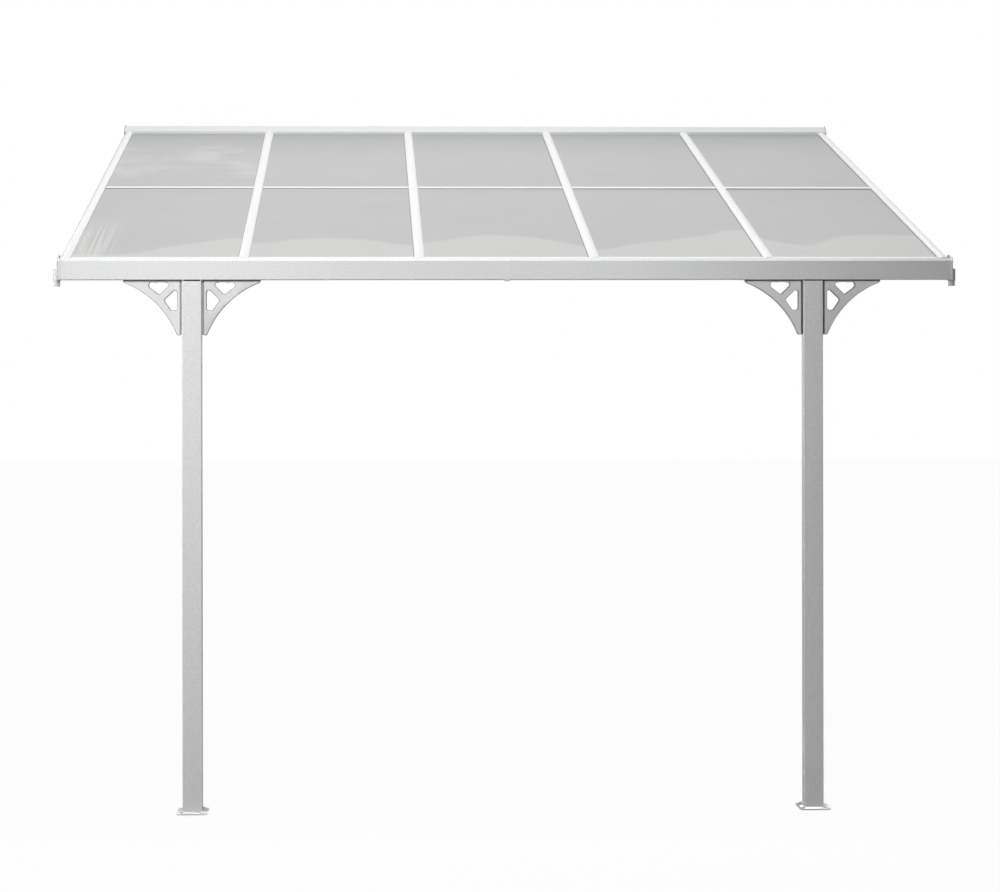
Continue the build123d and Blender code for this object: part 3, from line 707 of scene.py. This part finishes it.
def chamfered_bracket(node_name, tongue):
    """Replaces a bracket with a copy that has a chamfer round its faces and round the windows."""
    bm = merged_copy(node_name)
    flats = [face for face in bm.faces if bracket_finish(face) == 0]
    ring = bmesh.ops.inset_region(bm, faces=flats, thickness=CHAMFER_WIDTH, depth=0.0,
                                  use_even_offset=True)["faces"]
    inner = {vert for face in flats for vert in face.verts}
    outer = {vert for face in ring for vert in face.verts} - inner
    for side in (-1, 1):
        chosen = [vert for vert in outer if (vert.co.y - post_y) * side > 0]
        bmesh.ops.translate(bm, vec=(0, -side * CHAMFER_DEPTH, 0), verts=chosen)
    top = max(vert.co.z for vert in bm.verts)
    edge = [vert for vert in bm.verts if TOP_EDGE_DROP[0] < top - vert.co.z < TOP_EDGE_DROP[1]]
    bmesh.ops.translate(bm, vec=(0, 0, TOP_EDGE_LIFT), verts=edge)
    for face in bm.faces:
        face.normal_update()
        face.material_index = bracket_finish(face)
    print("chamfer faces:", len(ring), "points on the top edge:", len(edge))
    return replace_node(node_name, bm, "white_plastic", white_plastic, edge_shade_plastic, rim_shade_plastic, tongue)


def cap_finish(face):
    """0 on an end cap's flat sides and 1 on its edges, which are painted shade."""
    return 1 if abs(face.normal.x) < RIM_FACING else 0


CAP_EDGE = 0.0006
JOINER_EDGE = 0.0004

# The tongues' finishes are a painted shadow in the gap, paler on the left brackets.
for name, tongue in (("left_outer", tongue_painted_shadow_plastic), ("left_inner", tongue_painted_shadow_plastic),
                     ("right_inner", grey_plastic), ("right_outer", grey_plastic)):
    chamfered_bracket(f"bracket_{name}", tongue)
# The end caps' darker edges are painted shade.
for name in ("gutter_cap_left", "gutter_cap_right"):
    softened(name, CAP_EDGE, "white_plastic", white_plastic, edge_shade_plastic, choose=cap_finish)
for name in ("wall_rail_cap_left", "wall_rail_cap_right"):
    softened(name, CAP_EDGE, "white_plastic", white_plastic, rim_shade_plastic, choose=cap_finish)
softened("gutter_joiner", JOINER_EDGE, "white_plastic", white_plastic)

# %% [markdown]
# ## Screws
# The cover is held together by small pan-head screws, and to the wall by hexagon screws with washers.
# A plain cylinder would do for either from far away, but not close up. So each kind is drawn once, a
# round one as a profile that is spun, a hexagon one as a circle with six sides that is extruded, and
# then stamped wherever the cover needs it.

# %% Screw shapes
ROUND_STEPS = 20
HEAD_RADIUS = 0.0036
HEAD_RISE = 0.0022
SOCKET_RADIUS = 0.0014
SOCKET_DEPTH = 0.0012
HEXAGON_EDGE = 0.0006


def turned(name, profile):
    """A small round shape: a profile of radius and height, spun about Z."""
    bm = bmesh.new()
    verts = [bm.verts.new((radius, 0.0, height)) for radius, height in profile]
    lines = [bm.edges.new(pair) for pair in zip(verts, verts[1:])]
    bmesh.ops.spin(bm, geom=verts + lines, cent=(0, 0, 0), axis=(0, 0, 1), angle=2 * math.pi,
                   steps=ROUND_STEPS, use_merge=True)
    return template(name, bm)


pan_head = turned("pan_head", [
    (0.0, HEAD_RISE - SOCKET_DEPTH), (SOCKET_RADIUS, HEAD_RISE - SOCKET_DEPTH), (SOCKET_RADIUS, HEAD_RISE),
    (0.6 * HEAD_RADIUS, 0.95 * HEAD_RISE), (0.88 * HEAD_RADIUS, 0.7 * HEAD_RISE),
    (HEAD_RADIUS, 0.3 * HEAD_RISE), (HEAD_RADIUS, 0.0), (0.0, 0.0),
])


def hexagon_screw(name, width, rise, washer_radius, washer_rise):
    """A hexagon head on a round washer."""
    bm = bmesh.new()
    disc = Matrix.Translation((0, 0, washer_rise / 2))
    bmesh.ops.create_cone(bm, cap_ends=True, segments=ROUND_STEPS, radius1=washer_radius,
                          radius2=washer_radius, depth=washer_rise, matrix=disc)
    ring = bmesh.ops.create_circle(bm, cap_ends=True, segments=6, radius=width / math.sqrt(3),
                                   matrix=Matrix.Translation((0, 0, washer_rise)))
    face = ring["verts"][0].link_faces[0]
    pushed = bmesh.ops.extrude_face_region(bm, geom=[face])["geom"]
    top = [item for item in pushed if isinstance(item, bmesh.types.BMVert)]
    bmesh.ops.translate(bm, vec=(0, 0, rise), verts=top)
    rim = list({line for vert in top for line in vert.link_edges if all(end in top for end in line.verts)})
    bmesh.ops.bevel(bm, geom=rim, offset=HEXAGON_EDGE, segments=2, profile=0.5, affect="EDGES", material=-1)
    return template(name, bm)


wall_screw = hexagon_screw("wall_screw", width=0.013, rise=0.0052, washer_radius=0.010, washer_rise=0.0015)
print("pan head faces:", len(pan_head.polygons), "hexagon faces:", len(wall_screw.polygons))

# %% [markdown]
# ## Where the screws go
# A screw's place is a point and the way its head faces, which one matrix holds. The first six fix the
# wall rail through its back. They could be set by hand, but the rail's holes have an even spacing, so
# one row gives all six.

# %% Where the screws go
WALL_SCREW_SPACING = 0.488
WALL_SCREW_Z = -0.043
RAIL_WALL = 0.0025


def facing(point, direction):
    """Place whose local Z looks in a direction."""
    return Matrix.Translation(point) @ Vector(direction).to_track_quat("Z", "Y").to_matrix().to_4x4()


def row(count, spacing):
    """Evenly spaced places about the middle."""
    return [(index - (count - 1) / 2) * spacing for index in range(count)]


wall_screws = bmesh.new()
for x in row(6, WALL_SCREW_SPACING):
    stamp(wall_screws, wall_screw, facing((x, -RAIL_WALL, WALL_SCREW_Z), (0, -1, 0)))
new_piece("wall_screws", wall_screws, "mill_aluminium", stainless)

# %% [markdown]
# ## Screws on the end caps
# Three screws hold each end cap on its profile. Their places are pairs of Y and Z: for the rail from the
# origin, and for the gutter from its lower front corner. One loop over the two sides mirrors them.

# %% Screws on the end caps
END_CAP_THICKNESS = 0.004
RAIL_CAP_SCREWS = ((-0.012, -0.043), (-0.012, 0.043), (-0.046, 0.018))
GUTTER_CAP_SCREWS = ((0.012, 0.012), (0.078, 0.012), (0.078, 0.062))

rail_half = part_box("wall_rail_cap_right")[1].x
gutter_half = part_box("gutter_right")[1].x + END_CAP_THICKNESS
gutter_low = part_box("gutter_left")[0]

cap_screws = bmesh.new()
for side in (-1, 1):
    for y, z in RAIL_CAP_SCREWS:
        stamp(cap_screws, pan_head, facing((side * rail_half, y, z), (side, 0, 0)))
    for y, z in GUTTER_CAP_SCREWS:
        spot = (side * gutter_half, gutter_low.y + y, gutter_low.z + z)
        stamp(cap_screws, pan_head, facing(spot, (side, 0, 0)))
new_piece("cap_screws", cap_screws, "mill_aluminium", stainless)

# %% [markdown]
# ## Screws under the rafters
# Two screws under each end of a rafter hold it on the rail's shelf and on the gutter's flange. Placed one
# by one they would be 24 matrices. A loop over the rafters and the two seats follows the solids instead.

# %% Screws under the rafters
RAFTER_UNDER = -0.054
SCREW_PAIR = 0.016
SHELF_SCREW_Y = -0.034
FLANGE_SCREW_Y = 0.010
GUTTER_WALL = 0.002

seat_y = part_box("gutter_left")[1].y - FLANGE_SCREW_Y
rafter_screws = bmesh.new()
for name in RAFTER_NAMES:
    low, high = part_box(name)
    for x in row(2, SCREW_PAIR):
        for y, wall in ((SHELF_SCREW_Y, RAIL_WALL), (seat_y, GUTTER_WALL)):
            under = on_roof((low.x + high.x) / 2 + x, y, RAFTER_UNDER - wall)
            stamp(rafter_screws, pan_head, under @ Matrix.Rotation(math.pi, 4, "X"))
new_piece("rafter_screws", rafter_screws, "mill_aluminium", stainless)

# %% [markdown]
# ## Screws in the posts and brackets
# Two screws hold each post on its foot and two hold the plug in its head, all from behind. A bracket is
# screwed up into the gutter and sideways into the post, through the thin strips beside its windows.
# These heads are white like the parts they hold. Their places are worked out from the posts' and the
# gutter's boxes, so that they follow when a post is moved along the gutter.

# %% Screws in the posts and brackets
POST_SCREW_RISE = 0.060
HEAD_SCREW_DROP = 0.022
POST_SCREW_PAIR = 0.030
TOP_STRIP_DROP = 0.008
TOP_STRIP_OUT = (0.055, 0.092)
SIDE_STRIP_OUT = 0.0163
SIDE_STRIP_DROP = (0.046, 0.086)

gutter_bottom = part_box("gutter_left")[0].z
white_screws = bmesh.new()
for name in ("left", "right"):
    low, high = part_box(f"post_{name}")
    middle = (low.x + high.x) / 2
    for x in row(2, POST_SCREW_PAIR):
        for z in (low.z + POST_SCREW_RISE, high.z - HEAD_SCREW_DROP):
            stamp(white_screws, pan_head, facing((middle + x, high.y, z), (0, 1, 0)))
    for side, edge in ((-1, low.x), (1, high.x)):
        for out in TOP_STRIP_OUT:
            spot = (edge + side * out, post_y, gutter_bottom - TOP_STRIP_DROP)
            stamp(white_screws, pan_head, facing(spot, (0, 0, -1)))
        for drop in SIDE_STRIP_DROP:
            spot = (edge + side * SIDE_STRIP_OUT, post_y, gutter_bottom - drop)
            stamp(white_screws, pan_head, facing(spot, (side, 0, 0)))
new_piece("white_screws", white_screws, "white_plastic", white_plastic)

# %% [markdown]
# ## Anchor covers
# Each foot is anchored through four holes. A low white cover hides each anchor. It could be half a ball
# pressed flat, but a profile that is spun about its axis, a quarter of an ellipse, has its skirt too.

# %% Anchor covers
COVER_RADIUS = 0.0085
COVER_RISE = 0.0055
COVER_SKIRT = 0.0015
COVER_STEPS = 6
ANCHOR_SPACING_X = 0.072
ANCHOR_SPACING_Y = 0.106
FOOT_THICKNESS = 0.005


def dome_profile():
    """Points from the top of a cover down to its skirt and back to its axis."""
    turns = [step / COVER_STEPS * math.pi / 2 for step in range(COVER_STEPS + 1)]
    arch = [(COVER_RADIUS * math.sin(turn), COVER_SKIRT + COVER_RISE * math.cos(turn)) for turn in turns]
    return [*arch, (COVER_RADIUS, 0.0), (0.0, 0.0)]


anchor_cover = turned("anchor_cover", dome_profile())
covers = bmesh.new()
for name in ("left", "right"):
    low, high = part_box(f"foot_{name}")
    for x in row(2, ANCHOR_SPACING_X):
        for y in row(2, ANCHOR_SPACING_Y):
            spot = ((low.x + high.x) / 2 + x, post_y + y, low.z + FOOT_THICKNESS)
            stamp(covers, anchor_cover, Matrix.Translation(spot))
covers_piece = new_piece("anchor_covers", covers, "white_plastic", white_plastic)
covers_piece.data.shade_smooth()

# %% [markdown]
# ## Sealant in the gutter
# The two halves of the gutter meet in the middle. A bead of sealant lies over the joint, inside the
# trough. It could be one bent strip, but two bars, one across the floor and one up the back, look the
# same, because they meet deep in the trough.

# %% Sealant in the gutter
BEAD_WIDTH = 0.010
BEAD_RISE = 0.0014
TROUGH_BACK = 0.090
BEAD_HEIGHT = 0.050

bead = bmesh.new()
floor_z = gutter_low.z + GUTTER_WALL
trough_middle = gutter_low.y + TROUGH_BACK / 2
trough_depth = TROUGH_BACK - 2 * GUTTER_WALL - 2 * BEAD_RISE
add_bar(bead, (BEAD_WIDTH, trough_depth, BEAD_RISE),
        Matrix.Translation((0, trough_middle, floor_z + BEAD_RISE / 2)), SEAL_EDGE)
back_y = gutter_low.y + TROUGH_BACK - GUTTER_WALL - BEAD_RISE / 2
add_bar(bead, (BEAD_WIDTH, BEAD_RISE, BEAD_HEIGHT),
        Matrix.Translation((0, back_y, floor_z + BEAD_HEIGHT / 2)), SEAL_EDGE)
new_piece("gutter_sealant", bead, "white_plastic", white_plastic)

# %% [markdown]
# ## Stage
# The cover stands on a plain pale floor. It could be left out, but then its feet would throw no shadow.
# To the camera the floor is nearly all white emission, and the little that is left takes the shadow.

# %% Stage
FLOOR_SIZE = 60.0
FLOOR_DROP = 0.001
FLOOR_SHEEN = 0.97


def make_floor():
    """A large floor just under the feet, staged so that it isn't part of the cover."""
    mesh = bpy.data.meshes.new("floor")
    bm = bmesh.new()
    bmesh.ops.create_grid(bm, x_segments=1, y_segments=1, size=FLOOR_SIZE / 2)
    bm.to_mesh(mesh)
    bm.free()
    mesh.transform(Matrix.Translation((0, 0, cad_low.z - FLOOR_DROP)))
    floor = bpy.data.objects.new("floor", mesh)
    bpy.context.scene.collection.objects.link(floor)
    material, paint, shader = new_material("floor")
    shader.inputs["Base Color"].default_value = (0.7, 0.7, 0.7, 1.0)
    shader.inputs["Roughness"].default_value = 0.9
    rays = paint.node("ShaderNodeLightPath")
    white = paint.node("ShaderNodeEmission", {}, {"Color": (1, 1, 1, 1), "Strength": 1.0})[0]
    shaded = Shade(paint.tree, shader.outputs[0])
    mixed = paint.node("ShaderNodeMixShader", {}, {0: rays[0] * FLOOR_SHEEN, 1: shaded, 2: white})[0]
    paint.feed(paint.tree.nodes["Material Output"].inputs["Surface"], mixed)
    floor.data.materials.append(material)
    return floor


floor = make_floor()
print("floor at", round(cad_low.z, 3))

# %% [markdown]
# ## Lights and world
# A catalogue picture has one soft lamp from the left in front, the key, which fades to the right along
# the gutter, and a large one overhead for the roof. Three weak ones even out what these leave: a fill in
# front of the middle, one over the right corner and one low on the left. A small pair stands over each
# foot plate, which would be in the roof's shadow. The world is white to the camera and in reflections,
# but gives little light itself, so the shaded sides stay grey.

# %% Lights and world
WORLD_LEVEL = 0.12
LAMPS = {
    # name: place, aim, size in metres, spread in degrees, power in watts
    "key": ((-1.43, -8.6, 0.78), (-1.17, -2.95, -0.87), 1.0, 69, 25.8),
    "fill": ((0.45, -8.6, 0.6), (0.45, -2.95, -0.6), 0.5, 21, 0.50),
    "top": ((-0.4, -2.0, 5.4), (-0.3, -1.7, 0.0), 3.0, 180, 322.0),
    "corner": ((1.3, -2.9, 1.8), (1.25, -2.85, -0.6), 0.6, 50, 0.36),
    "side": ((-5.5, -3.6, -0.6), (1.0, -2.9, -0.9), 1.0, 40, 5.8),
}
FOOT_LAMP_OUT = 0.35
FOOT_LAMP_Z = -1.1
FOOT_LAMP_AHEAD = 0.01
FOOT_LAMP_SIZE = 0.1
FOOT_LAMP_SPREAD = 10
FOOT_LAMP_POWERS = {"foot_left": 0.030, "foot_right": 0.042}


def make_world():
    """A world that is white to the camera, in reflections and through clear things, and dim otherwise."""
    world = bpy.data.worlds.new("white_studio")
    world.use_nodes = True
    world.node_tree.nodes.clear()
    paint = Shade(world.node_tree)
    rays = paint.node("ShaderNodeLightPath")
    # outputs 0, 3 and 6 tell camera, glossy and transmission rays
    seen = paint.math("MAXIMUM", paint.math("MAXIMUM", rays[0], rays[3]), rays[6])
    level = seen * (1.0 - WORLD_LEVEL) + WORLD_LEVEL
    back = paint.node("ShaderNodeBackground", {}, {"Color": (1, 1, 1, 1), "Strength": level})[0]
    output = paint.tree.nodes.new("ShaderNodeOutputWorld")
    paint.feed(output.inputs["Surface"], back)
    bpy.context.scene.world = world


def area_lamp(name, place, aim, size, spread, power):
    """A round lamp at a place that shines on a point and isn't seen itself."""
    data = bpy.data.lights.new(name, "AREA")
    data.energy = power
    data.spread = math.radians(spread)
    data.shape = "DISK"
    data.size = size
    lamp = bpy.data.objects.new(name, data)
    bpy.context.scene.collection.objects.link(lamp)
    turn = (Vector(aim) - Vector(place)).to_track_quat("-Z", "Y")
    lamp.matrix_world = Matrix.Translation(place) @ turn.to_matrix().to_4x4()
    lamp.visible_camera = False
    return lamp


make_world()
for name, lamp in LAMPS.items():
    area_lamp(name, *lamp)
front_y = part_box("post_left")[0].y - FOOT_LAMP_AHEAD
for name, power in FOOT_LAMP_POWERS.items():
    low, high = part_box(name)
    middle = (low.x + high.x) / 2
    for side in (-1, 1):
        place = (middle + side * FOOT_LAMP_OUT, front_y, FOOT_LAMP_Z)
        area_lamp(f"{name}_lamp", place, (middle, front_y, low.z), FOOT_LAMP_SIZE, FOOT_LAMP_SPREAD, power)
print("world and", len(bpy.data.lights), "lamps ready")

# %% [markdown]
# ## Finish
# The picture keeps plain colours, so the view transform is Standard.

# %% Finish
bpy.context.scene.view_settings.view_transform = "Standard"
